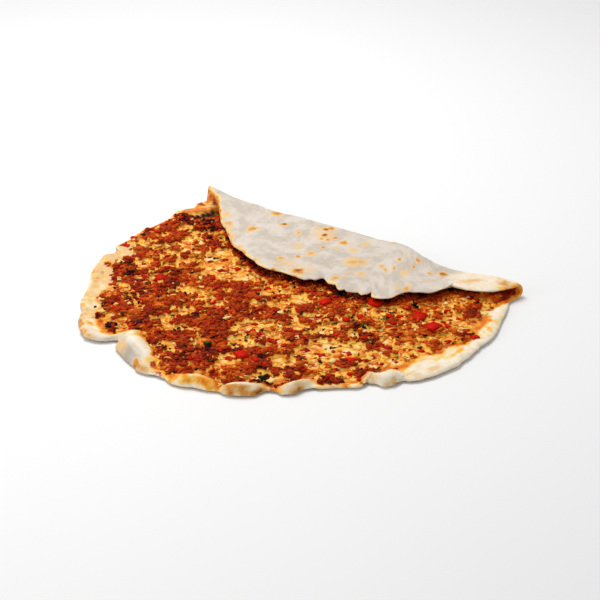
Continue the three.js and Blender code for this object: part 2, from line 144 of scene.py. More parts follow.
# Toasted spots of the underside: place, radius, how dark
TOAST_SPOTS = [
    (-62, 38, 3.1, 0.7), (-45, 26, 2.0, 1), (-78, 49, 2.7, 0.45), (-55, 69, 3.4, 0.5), (-18, 71, 2, 0.7),
    (-32, 81, 1.7, 0.6), (-10, 62, 1.7, 0.9), (2, 79, 3.4, 0.9), (-5, 53, 3.4, 0.6), (-2, 42, 1.7, 0.8),
    (-2, 25, 2, 0.8), (7, 28, 2.4, 0.85), (6, 38, 1.4, 0.5), (-12, 5, 2, 1), (-30, 31, 2.4, 0.6),
    (-13, 14, 2, 0.8), (-11, 26, 2, 0.9), (-6, 30, 2, 0.7), (-21, 20, 1.7, 0.5), (28, 76, 2.7, 0.6),
    (29, 66, 1.4, 0.4), (39, 63, 2, 0.5), (28, 48, 4.8, 0.55), (-18, 89, 2, 0.7), (-14, 87, 2, 0.6),
    (36, 12, 1.7, 0.7), (51, 28, 1.5, 0.7), (45, 46, 1.7, 0.6), (50, 46, 1.7, 0.6), (54, 38, 1.7, 0.7),
    (21, 22, 2.7, 0.35), (52, 21, 1, 0.4), (64, 21, 1.4, 0.8), (63, 32, 3.4, 0.4), (77, 17, 1.7, 0.7),
    (84, 11, 2, 1), (62, 12, 2, 0.8), (76, 46, 2.7, 0.6), (69, 51, 2, 0.45), (106, 18, 4.1, 0.5),
    (126, 13, 3.4, 0.7), (-59, 10, 3.4, 0.7), (0, 77, 7, 0.24), (-12, 74, 6, 0.26), (8, 75, 6, 0.2),
    (-68, 55, 3, 0.5), (-55, 67, 3, 0.5), (-82, 44, 3, 0.55), (-91, 34, 3, 0.5), (-15, 18, 1.7, 1),
    (-11, 25, 1.6, 1), (-10, 31, 1.4, 0.9), (-12, 25, 8, 0.3), (-21, 4, 2, 0.8), (-18, -6, 2, 0.6),
]
# Toasted stretches of the rim's outer side: bearing, half its spread, how far in, how dark
RIM_TOAST = [(262, 5, 7, 0.5), (277, 6, 9, 0.9), (284, 3, 6, 0.7), (292, 5, 5, 0.8), (311, 8, 5, 0.4)]
# The same for its upper side, where each also has a distance from the edge at which it starts
CRUST_TOAST = [
    # The stretch at 238 degrees, along the edge, is toast and partly painted shade along the rim's lower edge
    (236.5, 2.4, 0, 3, 0.8), (238, 9, -1, 2.8, 0.7), (231, 6, -1, 5, 0.35), (252, 6, 0, 5, 0.35),
    (263.5, 3.4, 0, 3.4, 0.85), (289, 4, 0.2, 4.4, 0.95), (294, 3, -1, 2, 1), (304, 3, -1, 1.6, 1.1),
    (304, 7, 0.6, 5.5, 0.42), (327, 2.4, -1, 1.6, 0.5), (313, 3, 0, 2, 0.5), (340, 3, 3, 8, 0.25),
    (205, 26, 1, 20, 0.34), (226, 12, 0, 14, 0.3), (147, 3.4, -1, 3, 1.2), (208, 0.9, 6, 8.6, 1.1),
]
# The same for stretches that are soaked with oil, floury, or darkened with painted shade where the puffed rim
# faces away from the light
SOAKED_RIM = [
    (207, 30, 0, 18, 0.7), (219.7, 2.4, -1, 3.5, 1.15), (213.5, 2, 0.5, 4.5, 1), (227, 2, -1, 3, 1),
    (192, 8, 0, 10, 0.6), (230, 14, 0, 15, 0.58), (270, 6, 0, 6, 0.8), (279, 8, 0.6, 8, 0.9),
    (287, 4, 4, 9, 0.6), (297.5, 3, 0, 6, 0.8), (314, 7, 0, 6, 0.7), (331, 4, 6, 16, 0.5),
    (350, 5, 6, 11, 0.55), (3, 5, 3, 8, 0.6), (11, 4, 0, 4, 0.5), (25, 6, 0, 9, 0.9), (152, 14, 3, 16, 0.8),
]
FLOURY_RIM = [(255, 13, 0, 8, 0.8), (241, 7, 0, 5, 0.5)]
SHADED_RIM = [(256, 10, -1, 5.5, 0.25)]
# Oil and sauce that have run out, painted shade in the groove beside the left ear, burnt spots: place, radius,
# how much
RUN_OIL = [
    (-128, -27, 11, 1), (-121, -19, 11, 1), (-115, -12, 10, 1), (-108, -8, 8, 1), (-127, 2, 9, 1),
    (-109, -27, 8, 1), (-103, -20, 8, 1),
]
RUN_SAUCE = [
    (-131, -32, 6, 0.9), (-129, -8, 8, 1), (-120, -2, 6, 0.9), (-110, -23, 8, 1), (-119, -30, 8, 1),
    (-103, -14, 7, 1), (139, -73, 6, 0.6),
]
SHADED_GROOVE = [
    (-120, -29.5, 2.8, 0.6), (-117.8, -26.5, 3.2, 0.75), (-115.4, -23.7, 3.4, 0.7), (-113, -21, 3.6, 0.65),
    (-110.6, -18, 4, 0.6), (-107.5, -14.5, 4.4, 0.48), (-104, -12, 4.4, 0.48), (-101, -10, 4.4, 0.48),
]
BURNT_SPOTS = [
    (-117, -144, 2.4, 0.7), (-132, 11, 6, 1), (129, 14, 3.5, 0.6), (-14, 88, 4, 1), (-6, 87, 3, 0.9),
    (3, 85, 3, 0.8),
]
# Places of the large dice of pepper, and of the roasted spots, with their size; the spots beneath the tear in
# the folded part and beside the left ear stand for painted shade
PEPPER_PLACES = [
    (96, -70, 5.6), (28, -177, 5), (63, -72, 4.8), (111, -79, 5.4), (63, -91, 2.7), (-51, -100, 3.4),
    (-79, -122, 5.4), (-135, -81, 2.7), (139, -73, 2.7), (59, -102, 2.7), (-75, -171, 3),
    (-69, -140, 2.7), (-30, -128, 2.7), (36, -133, 2), (43, -152, 2), (117, -73, 2.7), (35, -90, 4.1),
    (64, -122, 2), (-23, -123, 2), (43, -80, 2.7), (88, -144, 3.4), (86, -87, 2.7), (83, -110, 2.7),
]
ROASTED_AND_SHADED_PLACES = [
    (-134, -73, 2), (-67, -190, 2.7), (-46, -189, 2.7), (4, -179, 2.7), (55, -192, 2.7), (-24, -173, 1.4),
    (-15, -167, 1.4), (51, -126, 1.4), (-83, -47, 2.7), (88, -60, 2.7), (72, -102, 3.4), (68, -135, 2.7),
    (-54, -176, 2), (-101, -130, 3.4), (-77, -152, 5.4), (59, -95, 2), (28, -119, 1.4), (28, -160, 2),
    (1, -178, 2), (47, -128, 1.4), (-92, -176, 2), (-89, -172, 2), (-114, -29, 5.4), (-87, -54, 3.4),
    (-41, -61, 5.4), (-22, -67, 4.1), (115, -104, 2), (82, -28, 5), (90, -22, 6), (98, -18, 4),
    (-104, -33, 6), (-94, -41, 5), (-124, -36, 5), (-112, -42, 4),
]
# Places of the larger scraps of herb and pieces of onion, with their half length
HERB_PLACES = [
    (-103, -127, 3.6), (2, -178, 2.8), (54, -191, 3.6), (72, -103, 3.4), (86, -59, 3.2), (-73, -107, 2.6),
    (45, -127, 2.6), (-89, -171, 2.6), (-49, -189, 2.6), (-26, -171, 2.4), (79, -86, 2.8), (-100, -124, 2.6),
    (70, -107, 2.6), (57, -194, 2.4),
]
ONION_PLACES = [
    (75, -107, 3), (-57, -108, 2.6), (-86, -65, 2.6), (-112, -82, 2.4), (79, -150, 2.8), (18, -118, 2.4),
    (61, -192, 2.6), (-8, -143, 2.6), (71, -52, 2.4),
]
# The table's direction from left to right, along and across the crease
TABLE_ACROSS = (math.cos(-CREASE_BEARING), math.sin(-CREASE_BEARING))


# Curves and noise

def mix(a, b, share):
    return a + (b - a) * share


def smooth(start, end, x):
    t = np.clip((x - start) / (end - start), 0, 1)
    return t * t * (3 - 2 * t)


def highest(fields):
    """The highest of several fields at each place."""
    return functools.reduce(np.maximum, fields)


def plateau(away):
    """1 over most of a stretch, falling to 0 at its ends."""
    return np.maximum(0, 1 - np.minimum(away, 1) ** 4) ** 2


def lattice(i, j, seed):
    """A fixed random number from 0 to 1 for each whole-numbered place."""
    h = (i * 374761393 + j * 668265263 + seed * 974634777) & 0xFFFFFFFF
    h = ((h ^ (h >> 13)) * 1274126177) & 0xFFFFFFFF
    h = ((h ^ (h >> 16)) * 1103515245) & 0xFFFFFFFF
    return ((h >> 8) & 0xFFFF) / 65535


def noise(s, e, size, seed):
    """Soft bumps of about the given size, from -1 to 1."""
    x, y = (0.8 * s + 0.6 * e) / size, (0.8 * e - 0.6 * s) / size
    i, j = np.floor(x).astype(np.int64), np.floor(y).astype(np.int64)
    u, v = x - i, y - j
    u, v = u * u * u * (u * (u * 6 - 15) + 10), v * v * v * (v * (v * 6 - 15) + 10)
    near = mix(lattice(i, j, seed), lattice(i + 1, j, seed), u)
    far = mix(lattice(i, j + 1, seed), lattice(i + 1, j + 1, seed), u)
    return 2 * mix(near, far, v) - 1


def ripples(s, e, size, seed):
    """Noise with two finer layers."""
    return sum(noise(s, e, size / 2**k, seed + k) / 2**k for k in range(3)) / 1.5


def domes(s, e, spacing, share, seed):
    """Round bumps of mixed sizes, from 0 to 1 high, on a jittered grid."""
    i, j = np.floor(s / spacing).astype(np.int64), np.floor(e / spacing).astype(np.int64)
    height = np.zeros(np.shape(s))
    for di in (-1, 0, 1):
        for dj in (-1, 0, 1):
            a, b = i + di, j + dj
            x = (a + lattice(a, b, seed)) * spacing
            y = (b + lattice(a, b, seed + 1)) * spacing
            size = lattice(a, b, seed + 2)
            away = np.hypot(s - x, e - y) / (spacing * mix(0.25, 0.6, size))
            there = lattice(a, b, seed + 3) < share
            height = np.maximum(height, there * mix(0.4, 1, size) * np.maximum(0, 1 - away**2) ** 1.5)
    return height


# The sheet and its folding

def apart(bearing, at):
    """Degrees from one bearing to another, -180 to 180."""
    return (bearing - at + 540) % 360 - 180


def swell_at(bearing, at, half):
    return plateau(np.abs(apart(bearing, at)) / half)


def lip_at(bearing):
    width, turn = (np.full(np.shape(bearing), float(v)) for v in REST_LIP)
    for at, half, lip_width, lip_turn in LIPS:
        share = swell_at(bearing, at, half)
        width += share * (lip_width - REST_LIP[0])
        turn += share * (lip_turn - REST_LIP[1])
    angle = np.radians(turn)
    return width, angle, width / angle


def bare_width(bearing):
    return highest(mix(BARE_RIM, width, swell_at(bearing, at, half)) for at, half, width in BARE_STRETCHES)


def sheet_radius(bearing):
    """The rim's radius before it is turned up."""
    a = np.radians(bearing)
    radius = DISC_RADIUS + 0.8 * np.sin(a * 11 + 1) + 0.5 * np.sin(a * 23)
    for at, half, out in BULGES:
        radius = radius + out * swell_at(bearing, at, half)
    for at, half, depth in TEARS:
        radius = radius - depth * np.maximum(0, 1 - np.abs(bearing - at) / half)
    width, angle, curl = lip_at(bearing)
    return radius + width - curl * np.sin(angle)


def topping_radius(bearing):
    """Where the topping ends: a little inside the bare rim, unevenly."""
    a = np.radians(bearing)
    uneven = 0.7 * np.sin(a * 17 + 0.5) + 0.6 * np.sin(a * 29 + 2) + 0.4 * np.sin(a * 47)
    return sheet_radius(bearing) - bare_width(bearing) + uneven


def bearing_of(s, e):
    return (np.degrees(np.arctan2(e + CREASE_OFFSET, s)) + 360) % 360


def rim_inset(s, e):
    """How far in from the rim a place lies."""
    return sheet_radius(bearing_of(s, e)) - np.hypot(s, e + CREASE_OFFSET)


def spread_inset(s, e):
    """The same from the edge of the topping, before that is made ragged."""
    return topping_radius(bearing_of(s, e)) - np.hypot(s, e + CREASE_OFFSET)


def loop_radius(s):
    radius = LOOP_RADIUS
    for start, end, more in LOOP_CHANGES:
        radius = radius + more * smooth(start, end, s)
    return radius


def crease_bow(s):
    return sum(back * np.maximum(0, 1 - ((s - at) / half) ** 2) ** 2 for at, half, back in CREASE_BOWS)


def puffing(s, e):
    """How far the rim has puffed up, in millimetres: a pillow over each stretch, rounder at its outer side."""
    bearing, inset = bearing_of(s, e), rim_inset(s, e)
    height = np.zeros(np.shape(s))
    for at, half, start, width, tall in PUFFS:
        t = np.clip((inset - start) / width, 0, 1)
        outer = (1 - (1 - t / PUFF_CREST) ** 2) ** 0.85
        inner = 0.5 + 0.5 * np.cos(math.pi * (t - PUFF_CREST) / (1 - PUFF_CREST))
        section = np.where(t < PUFF_CREST, outer, inner)
        along = np.maximum(0, 1 - (apart(bearing, at) / half) ** 2)
        height = np.maximum(height, tall * along * section)
    return height


def ear_ridge(s, e):
    """The wrinkle that runs in from the rim beside the left ear."""
    (ax, ay), (bx, by), height, half = EAR_RIDGE
    along = ((s - ax) * (bx - ax) + (e - ay) * (by - ay)) / ((bx - ax) ** 2 + (by - ay) ** 2)
    t = np.clip(along, 0, 1)
    away = np.hypot(s - mix(ax, bx, t), e - mix(ay, by, t)) / half
    return height * np.maximum(0, 1 - away * away) ** 2


def lay(s, e, offset):
    """Points of the folded bread, in the crease's frame, for points of the flat sheet."""
    bearing = bearing_of(s, e)
    reach = np.hypot(s, e + CREASE_OFFSET)
    width, _, curl = lip_at(bearing)
    inset = sheet_radius(bearing) - reach
    turned = np.maximum(0, width - inset) / curl
    on_lip = inset < width
    out = np.where(on_lip, reach + inset - width + (curl - offset) * np.sin(turned), reach)
    up = np.where(on_lip, curl - (curl - offset) * np.cos(turned), offset)
    x = out * np.cos(np.radians(bearing))
    y = out * np.sin(np.radians(bearing)) - CREASE_OFFSET

    middle = DOUGH / 2
    radius = loop_radius(x)
    bend = crease_bow(x) - radius
    past = y - bend
    arm, turn = radius - up, past / radius
    back = past - math.pi * radius
    settled = smooth(0, FLAP_SETTLE, back)
    sunk = smooth(*FLAP_SINK[:2], x)
    flap = mix(middle + 2 * radius, FLAP_HEIGHT - FLAP_SINK[2] * sunk, settled)
    for height, along, across, phase in FLAP_WAVES:
        flap = flap + height * settled * (1 - sunk) * np.sin(along * x + across * back + phase)
    where = [past <= 0, past < math.pi * radius]
    y = np.select(where, [y, bend + arm * np.sin(turn)], bend - back)
    flat = middle + up + ear_ridge(x, past + bend)
    z = np.select(where, [flat, middle + radius - arm * np.cos(turn)], flap - up)
    return x, y, z


def placed(x, y, z):
    """Metres of the frame, from the crease's frame in millimetres."""
    c, w = math.cos(CREASE_BEARING), math.sin(CREASE_BEARING)
    y = y + CREASE_OFFSET
    return np.stack([DISC_CENTRE[0] + x * c - y * w, DISC_CENTRE[1] + x * w + y * c, z], -1) * MM


def under_flap(s, e):
    """How far in from the folded part's free edge a point beneath it lies, below 0 in the open."""
    radius = loop_radius(s)
    bend = crease_bow(s) - radius
    over = bend + math.pi * radius + (bend - e)
    return np.where(over > FOLD_END, rim_inset(s, over), 99)


# The grid over the flat sheet

def steps(count, length, start_steps=(), end_steps=()):
    """Shares of a length, with the steps next to an edge given in millimetres."""
    start = [d / length for d in start_steps]
    end = [1 - d / length for d in reversed(end_steps)]
    between = np.linspace(start[-1] if start else 0, end[0] if end else 1, count + 1)
    return np.concatenate([start[:-1], between, end[1:]])


def rim_bearing(e, radius_at, right_side):
    """The bearing at which the rim passes a given distance from the crease."""
    low, high = (-20, 70) if right_side else (110, 200)
    for _ in range(40):
        mid = (low + high) / 2
        height = radius_at((mid + 360) % 360) * math.sin(math.radians(mid)) - CREASE_OFFSET
        if (height < e) == right_side:
            low = mid
        else:
            high = mid
    return (low + high) / 2


def sheet_grid(radius_at, columns, front_rows, fold_rows, back_rows):
    """A grid whose border is the rim and whose middle rows lie straight along the fold."""
    def rim(bearing):
        radius = radius_at((bearing + 720) % 360)
        a = np.radians(bearing)
        return np.stack([radius * np.cos(a), radius * np.sin(a) - CREASE_OFFSET], -1)

    def ends(e):
        return rim_bearing(e, radius_at, False), rim_bearing(e, radius_at, True)

    def level(first, last):
        """Bearings at which the rim lies as far along the crease as the columns do."""
        bearing = np.linspace(first, last, 3000)
        s = np.maximum.accumulate(rim(bearing)[:, 0])
        return np.interp(mix(s[0], s[-1], columns), s, bearing)

    def chord(e):
        left, right = ends(e)
        return mix(rim(left), rim(right), columns[:, None])

    def patch(near, far, left, right, rows):
        u, v = columns[None, :, None], rows[:, None, None]
        corners = mix(mix(near[0], near[-1], u), mix(far[0], far[-1], u), v)
        return mix(near[None], far[None], v) + mix(left[:, None], right[:, None], u) - corners

    start, end = ends(FOLD_START), ends(FOLD_END)
    front = patch(
        rim(mix(LEFT_FRONT, RIGHT_FRONT, columns)), chord(FOLD_START),
        rim(mix(LEFT_FRONT, start[0], front_rows)),
        rim(mix(RIGHT_FRONT, start[1] + 360, front_rows)), front_rows,
    )
    fold = np.stack([chord(mix(FOLD_START, FOLD_END, v)) for v in fold_rows])
    back = patch(
        chord(FOLD_END), rim(level(LEFT_BACK, RIGHT_BACK)),
        rim(mix(end[0], LEFT_BACK, back_rows)),
        rim(mix(end[1], RIGHT_BACK, back_rows)), back_rows,
    )
    grid = np.concatenate([front[:-1], fold, back[1:]])
    return grid[..., 0], grid[..., 1]


# Meshes

def in_scene(name, data):
    """An object of the scene that holds the given mesh, lamp or camera."""
    made = bpy.data.objects.new(name, data)
    bpy.context.scene.collection.objects.link(made)
    return made


def new_mesh(name, points, faces, values, soft=True):
    """An object from arrays: faces all have as many corners, and values are per point."""
    mesh = bpy.data.meshes.new(name)
    corners = faces.shape[1]
    mesh.vertices.add(len(points))
    mesh.vertices.foreach_set("co", points.astype(np.float32).ravel())
    mesh.loops.add(faces.size)
    mesh.loops.foreach_set("vertex_index", faces.astype(np.int32).ravel())
    mesh.polygons.add(len(faces))
    mesh.polygons.foreach_set("loop_start", np.arange(0, faces.size, corners, dtype=np.int32))
    for key, value in values.items():
        vector = value.ndim == 2
        layer = mesh.attributes.new(key, "FLOAT_VECTOR" if vector else "FLOAT", "POINT")
        layer.data.foreach_set("vector" if vector else "value", value.astype(np.float32).ravel())
    mesh.update(calc_edges=True)
    if soft:
        mesh.shade_smooth()
    return in_scene(name, mesh)


def closed_sheet(name, s, e, top, bottom, values):
    """A closed layer over the grid: its two faces share the rim's points."""
    rows, columns = s.shape
    inner = (slice(1, -1), slice(1, -1))
    upper = np.arange(s.size).reshape(s.shape)
    lower = upper.copy()
    lower[inner] = s.size + np.arange((rows - 2) * (columns - 2)).reshape(rows - 2, columns - 2)
    points = [placed(*lay(s, e, top)).reshape(-1, 3), placed(*lay(s, e, bottom))[inner].reshape(-1, 3)]

    def quads(index):
        a, b, c, d = index[:-1, :-1], index[:-1, 1:], index[1:, 1:], index[1:, :-1]
        return np.stack([a, b, c, d], -1).reshape(-1, 4)

    faces = np.concatenate([quads(upper), quads(lower)[:, ::-1]])
    joined = {}
    for key, (above, below) in values.items():
        tail = above.shape[2:]
        joined[key] = np.concatenate([above.reshape(-1, *tail), below[inner].reshape(-1, *tail)])
    return new_mesh(name, np.concatenate(points), faces, joined)


# Dough

def nearness(s, e, places):
    """1 at the places and 0 past their radius, with a wavy edge; each place is s, e, radius, strength."""
    wavy = 1 + 0.45 * noise(s, e, 3.2, 71) + 0.22 * noise(s, e, 1.5, 72)

    def spot(at_s, at_e, radius, strength):
        away = np.hypot(s - at_s, e - at_e) / (radius * wavy)
        return strength * np.maximum(0, 1 - away**2) ** 1.4

    return highest(spot(*place) for place in places)


def toast_of_underside(s, e):
    """How toasted the underside is, 0 to 1."""
    grown = [(a, b, radius * 1.9, strength) for a, b, radius, strength in TOAST_SPOTS]
    few = domes(s, e, 13, 0.3, 31) * smooth(0.1, 0.6, noise(s, e, 40, 33) + 0.3) * 0.6
    few = np.maximum(few, 0.4 * domes(s, e, 5.5, 0.3, 36) * smooth(-0.1, 0.5, noise(s, e, 24, 38)))
    few = few * mix(0.6, 1, smooth(10, -20, e))
    bearing, inset = bearing_of(s, e), rim_inset(s, e)
    patchy = (0.75 + 0.4 * noise(s, e, 4, 35)) * smooth(-0.5, 1.5, inset)
    rim = highest(strength * patchy * swell_at(bearing, at, half) * smooth(reach, reach * 0.2, inset)
                  for at, half, reach, strength in RIM_TOAST)
    return np.clip(highest((nearness(s, e, grown), few, rim)), 0, 1)


def rim_paint(s, e, stretches, seed):
    """Strongest of the stretches of rim that cover a point, with an uneven edge."""
    bearing = bearing_of(s, e) + 0.8 * noise(s, e, 5, seed)
    inset = rim_inset(s, e) + 0.9 * noise(s, e, 4, seed + 1)

    def stretch(at, half, start, end, strength):
        across = smooth(start - 1, start + 0.6, inset) * smooth(end + 1.2, end - 1.2, inset)
        return strength * swell_at(bearing, at, half) * across

    return highest(stretch(*each) for each in stretches)


def dough_rim(s, e):
    """Rounding and swelling of the dough near its edge."""
    inset = rim_inset(s, e)
    flap = smooth(FOLD_END, FOLD_END + 20, e)
    rounded = np.sqrt(1 - (1 - np.clip(inset / mix(EDGE_ROUND, FLAP_EDGE, flap), 0.05, 1)) ** 2)
    return rounded, RIM_SWELL * (1 - flap) * np.exp(-((inset / SWELL_REACH) ** 2))


def crust_relief(s, e):
    """Blisters and puckers of the dough's upper side, in millimetres."""
    inset = rim_inset(s, e)
    rim = smooth(26, 6, inset)
    blister = 0.75 * domes(s, e, 9, 0.45, 41) * rim + 0.3 * domes(s, e, 4.2, 0.4, 45)
    return blister + 0.28 * ripples(s, e, 7, 48) + 0.1 * noise(s, e, 2.6, 51) - 0.1


def underside_relief(s, e):
    """Hollows above 0 and, on the folded part, blisters below it, in millimetres."""
    flap = smooth(0, 25, e)
    wrinkles = np.abs(noise(s * 0.35 + e * 0.9, e * 0.3 - s * 0.8, 9, 61))
    crease = np.maximum(0, 1 - wrinkles * 2.5) ** 2 * smooth(-0.2, 0.5, noise(s, e, 26, 63))
    hollows = 0.3 + 0.3 * ripples(s, e, 13, 64) + 0.12 * noise(s, e, 3, 67) + 0.08 * crease
    rise = 0.35 * toast_of_underside(s, e) + 0.35 * domes(s, e, 8, 0.25, 68)
    return np.maximum(hollows - rise * mix(0.5, 1, flap), -0.3 * flap)


def upper_offset(s, e):
    rounded, swell = dough_rim(s, e)
    return (DOUGH / 2 + swell + crust_relief(s, e)) * rounded + puffing(s, e)


def oil_of_dough(s, e):
    """How oily the upper side is, 0 to 1: all of it inside the spread, and a fringe of it outside."""
    past = -spread_inset(s, e)
    bared = smooth(0.1, 0.9, thinness(s, e))
    fringe = smooth(5.5, -1, past + 3.5 * ripples(s, e, 9, 81)) * mix(1, 0.4, bared)
    streaks = 0.4 * smooth(0.15, 0.6, ripples(s, e, 11, 84)) * smooth(18, 3, past)
    soaked = rim_paint(s, e, SOAKED_RIM, 181) * np.clip(0.75 + 0.7 * ripples(s, e, 7, 183), 0, 1.3)
    run_out = nearness(s, e, RUN_OIL) ** 0.3
    return np.clip(highest((fringe, streaks, soaked, run_out)), 0, 1)


def oil_of_underside(s, e):
    """Oil that has crept round the folded part's edge."""
    bearing = bearing_of(s, e)
    left, right = swell_at(bearing, 126, 29), swell_at(bearing, 70, 60)
    patchy = 0.5 * right * smooth(0.1, 0.6, noise(s, e, 12, 95))
    return smooth(2.4, 0.4, rim_inset(s, e) + noise(s, e, 5, 91)) * np.maximum(left, patchy)


def sauce_of_dough(s, e):
    """Red-brown smears of sauce just outside the spread."""
    smears = smooth(0.18, 0.5, ripples(s, e, 5, 87)) * smooth(7, 0, -spread_inset(s, e))
    run_out = nearness(s, e, RUN_SAUCE) * (0.75 + 0.5 * noise(s, e, 3, 89))
    return np.clip(np.maximum(smears * 0.8, run_out), 0, 1)


def toast_of_crust(s, e):
    """How toasted the upper side is."""
    patchy = np.clip(0.85 + 0.8 * ripples(s, e, 5, 189), 0.2, 1.4)
    blisters = 0.35 * domes(s, e, 15, 0.3, 93) * smooth(16, 3, rim_inset(s, e))
    return np.maximum(rim_paint(s, e, CRUST_TOAST, 185) * patchy, blisters)


def shade_of_dough(s, e):
    """Painted shade on the upper side: how dark it is inside the fold, in the groove and where the rim turns
    away.
    """
    inside = smooth(FOLD_END, FOLD_END + 9, e) * smooth(0.8, 2.4, rim_inset(s, e)) * smooth(118, 100, s)
    return highest((inside, nearness(s, e, SHADED_GROOVE), rim_paint(s, e, SHADED_RIM, 191)))


def both(s, above, below):
    """Values for the two faces of a closed sheet, for every place of its grid."""
    return np.broadcast_to(above, s.shape).astype(float), np.broadcast_to(below, s.shape).astype(float)


def set_border(grid, value):
    grid[0] = grid[-1] = grid[:, 0] = grid[:, -1] = value


def dough_values(s, e):
    """What the dough's material needs to know at each place of its two faces."""
    flat = np.stack([s, e, puffing(s, e)], -1)
    floury = rim_paint(s, e, FLOURY_RIM, 187)
    turned_end = 0.9 * smooth(86, 98, s + 3 * noise(s, e, 9, 97))
    burnt = nearness(s, e, BURNT_SPOTS)
    upper_toast = np.clip(np.maximum(toast_of_crust(s, e), burnt), 0, 1)
    loop_ends = 0.75 * smooth(5, 1, rim_inset(s, e)) * smooth(-8, 0, e) * smooth(26, 16, e)
    upper_oil = np.maximum(oil_of_dough(s, e) * smooth(30, 4, e), loop_ends)
    return {
        "flat": (flat, flat + np.array([UNDERSIDE_SHIFT, 0, 0])),
        "inner": both(s, 1 - floury, turned_end),
        "toast": both(s, upper_toast, np.maximum(toast_of_underside(s, e), burnt)),
        "oil": both(s, upper_oil, np.maximum(oil_of_underside(s, e), loop_ends)),
        "sauce": both(s, sauce_of_dough(s, e), 0),
        "shade": both(s, shade_of_dough(s, e), 0),
    }


def make_dough():
    edge = (0, 0.35, 0.9, 1.6, 2.5, 3.8, 5.2)
    s, e = sheet_grid(
        sheet_radius, steps(180, 280, edge, edge),
        steps(130, 216, edge), steps(30, 1), steps(46, 76, (), edge),
    )
    top = upper_offset(s, e)
    set_border(top, 0)
    bottom = -(DOUGH / 2 - underside_relief(s, e)) * dough_rim(s, e)[0]
    return closed_sheet("dough_sheet", s, e, top, bottom, dough_values(s, e))


# Mince

def over_table(s, e):
    """The place's distances from left to right and from front to back as it lies on the table."""
    c, w = TABLE_ACROSS
    return c * s + w * e, c * e - w * s


def thinness(s, e):
    """Above 0 where the topping is too thin to hide the dough."""
    across, deep = over_table(s, e)
    warp_a, warp_b = 2.6 * noise(s, e, 7, 101), 2.6 * noise(s, e, 7, 102)
    bare = np.full(np.shape(s), -1.0)
    for at_s, at_e, half_width, half_depth in THIN_PATCHES:
        at_across, at_deep = over_table(at_s, at_e)
        away = np.hypot((across - at_across + warp_a) / half_width, (deep - at_deep + warp_b) / half_depth)
        bare = np.maximum(bare, 1.03 - away)
    mottle = 1.2 * ripples(s, e, 10, 106) + 0.4 * noise(s, e, 4, 109) - 0.46 + 0.18 * smooth(-125, -70, e)
    covered = 1.2 * smooth(-2.5, 1.5, under_flap(s, e)) * smooth(100, 90, s)
    return np.maximum(bare + 0.55 * ripples(s, e, 6, 103) - 0.05, mottle) - covered


def open_share(e):
    """1 on the open part, 0 from the loop on."""
    return 1 - smooth(*LOOP_APPROACH, e)


def topping_room(s, e):
    room = np.minimum(TOPPING, loop_radius(s) - LOOP_SPARE)
    return mix(np.minimum(room, FOLDED_TOPPING), room, open_share(e))


def ragged_inset(s, e):
    """How far inside the spread's torn edge a point lies."""
    return spread_inset(s, e) - 1 + 3.4 * ripples(s, e, 9, 116) * smooth(20, 3, e + 30)


def bed_height(s, e):
    """Height of the spread mince above the dough's upper side, below 0 where there is none."""
    bare = np.where(e < -8, thinness(s, e), -1)
    lumpy = 0.3 * domes(s, e, 7.5, 0.7, 112) + 0.6 * domes(s, e, 4.4, 0.8, 111)
    grainy = lumpy + 0.25 * noise(s, e, 3, 113) + 0.5 * ripples(s, e, 10, 114)
    full = topping_room(s, e) + CRUMB_RISE + (grainy - 0.2) * open_share(e)
    height = mix(full, SUNK_THIN, smooth(-0.45, 0.3, bare) ** 1.5)
    return mix(SUNK_EDGE, height, smooth(-0.5, 4, ragged_inset(s, e)))


def roast_and_shade_of(s, e):
    """How roasted the mince is at a place, 0 to 1, with painted shade beneath the folded part's free edge."""
    spots = nearness(s, e, [(a, b, size * 1.6, 1) for a, b, size in ROASTED_AND_SHADED_PLACES])
    edge = 0.2 * smooth(9, 2, spread_inset(s, e))
    below = under_flap(s, e)
    # Painted shade on the mince just beneath the folded part's free edge
    shade = 0.55 * smooth(-1.5, 2.5, below + 1.2 * noise(s, e, 4, 124)) * smooth(98, 82, s)
    return np.clip(np.maximum(spots, edge) + 0.2 * ripples(s, e, 17, 121) + shade, 0, 1)


def clump_tone_and_shade(s, e):
    """The mince's tone at a place, from 0, dark and roasted or in painted shade, to 1, pale and oily."""
    clumps = 0.32 * ripples(s, e, 8, 131) + 0.14 * noise(s, e, 3, 134) + 0.12 * noise(s, e, 18, 135)
    bared = 0.3 * np.clip(thinness(s, e) + 0.35, 0, 1)
    farther = 0.15 * smooth(-165, -85, e)
    # Painted shade darkens it beneath the folded part's edge and inside the fold; it is lighter towards the
    # back
    return 0.47 + clumps + farther - 0.5 * roast_and_shade_of(s, e) + bared - 0.5 * smooth(2, 14, e) * smooth(112, 94, s)


def make_mince_bed():
    edge = (0, 0.6, 1.4, 2.6)
    s, e = sheet_grid(
        topping_radius, steps(192, 262, edge, edge),
        steps(150, 200, edge), steps(24, 1), steps(44, 66, (), edge),
    )
    upper = upper_offset(s, e)
    height = bed_height(s, e)
    set_border(height, SUNK_BORDER)
    bottom = np.minimum(upper - ROOT_BELOW_DOUGH, upper + height - ROOT_BELOW_TOP)
    flat = np.stack([s, e, np.zeros(s.shape)], -1)
    # The oily colour is left out beneath the folded part and on its inner side, so the painted shade there
    # stays dark
    thin = np.clip(0.48 + 0.85 * thinness(s, e), 0, 1) * smooth(0, -8, e) * smooth(4, -1, under_flap(s, e))
    values = {"flat": (flat, flat), "thin": both(s, thin, 0), "tone": both(s, clump_tone_and_shade(s, e), 0.4)}
    return closed_sheet("mince_bed", s, e, upper + height, bottom, values)


# Things strewn over it

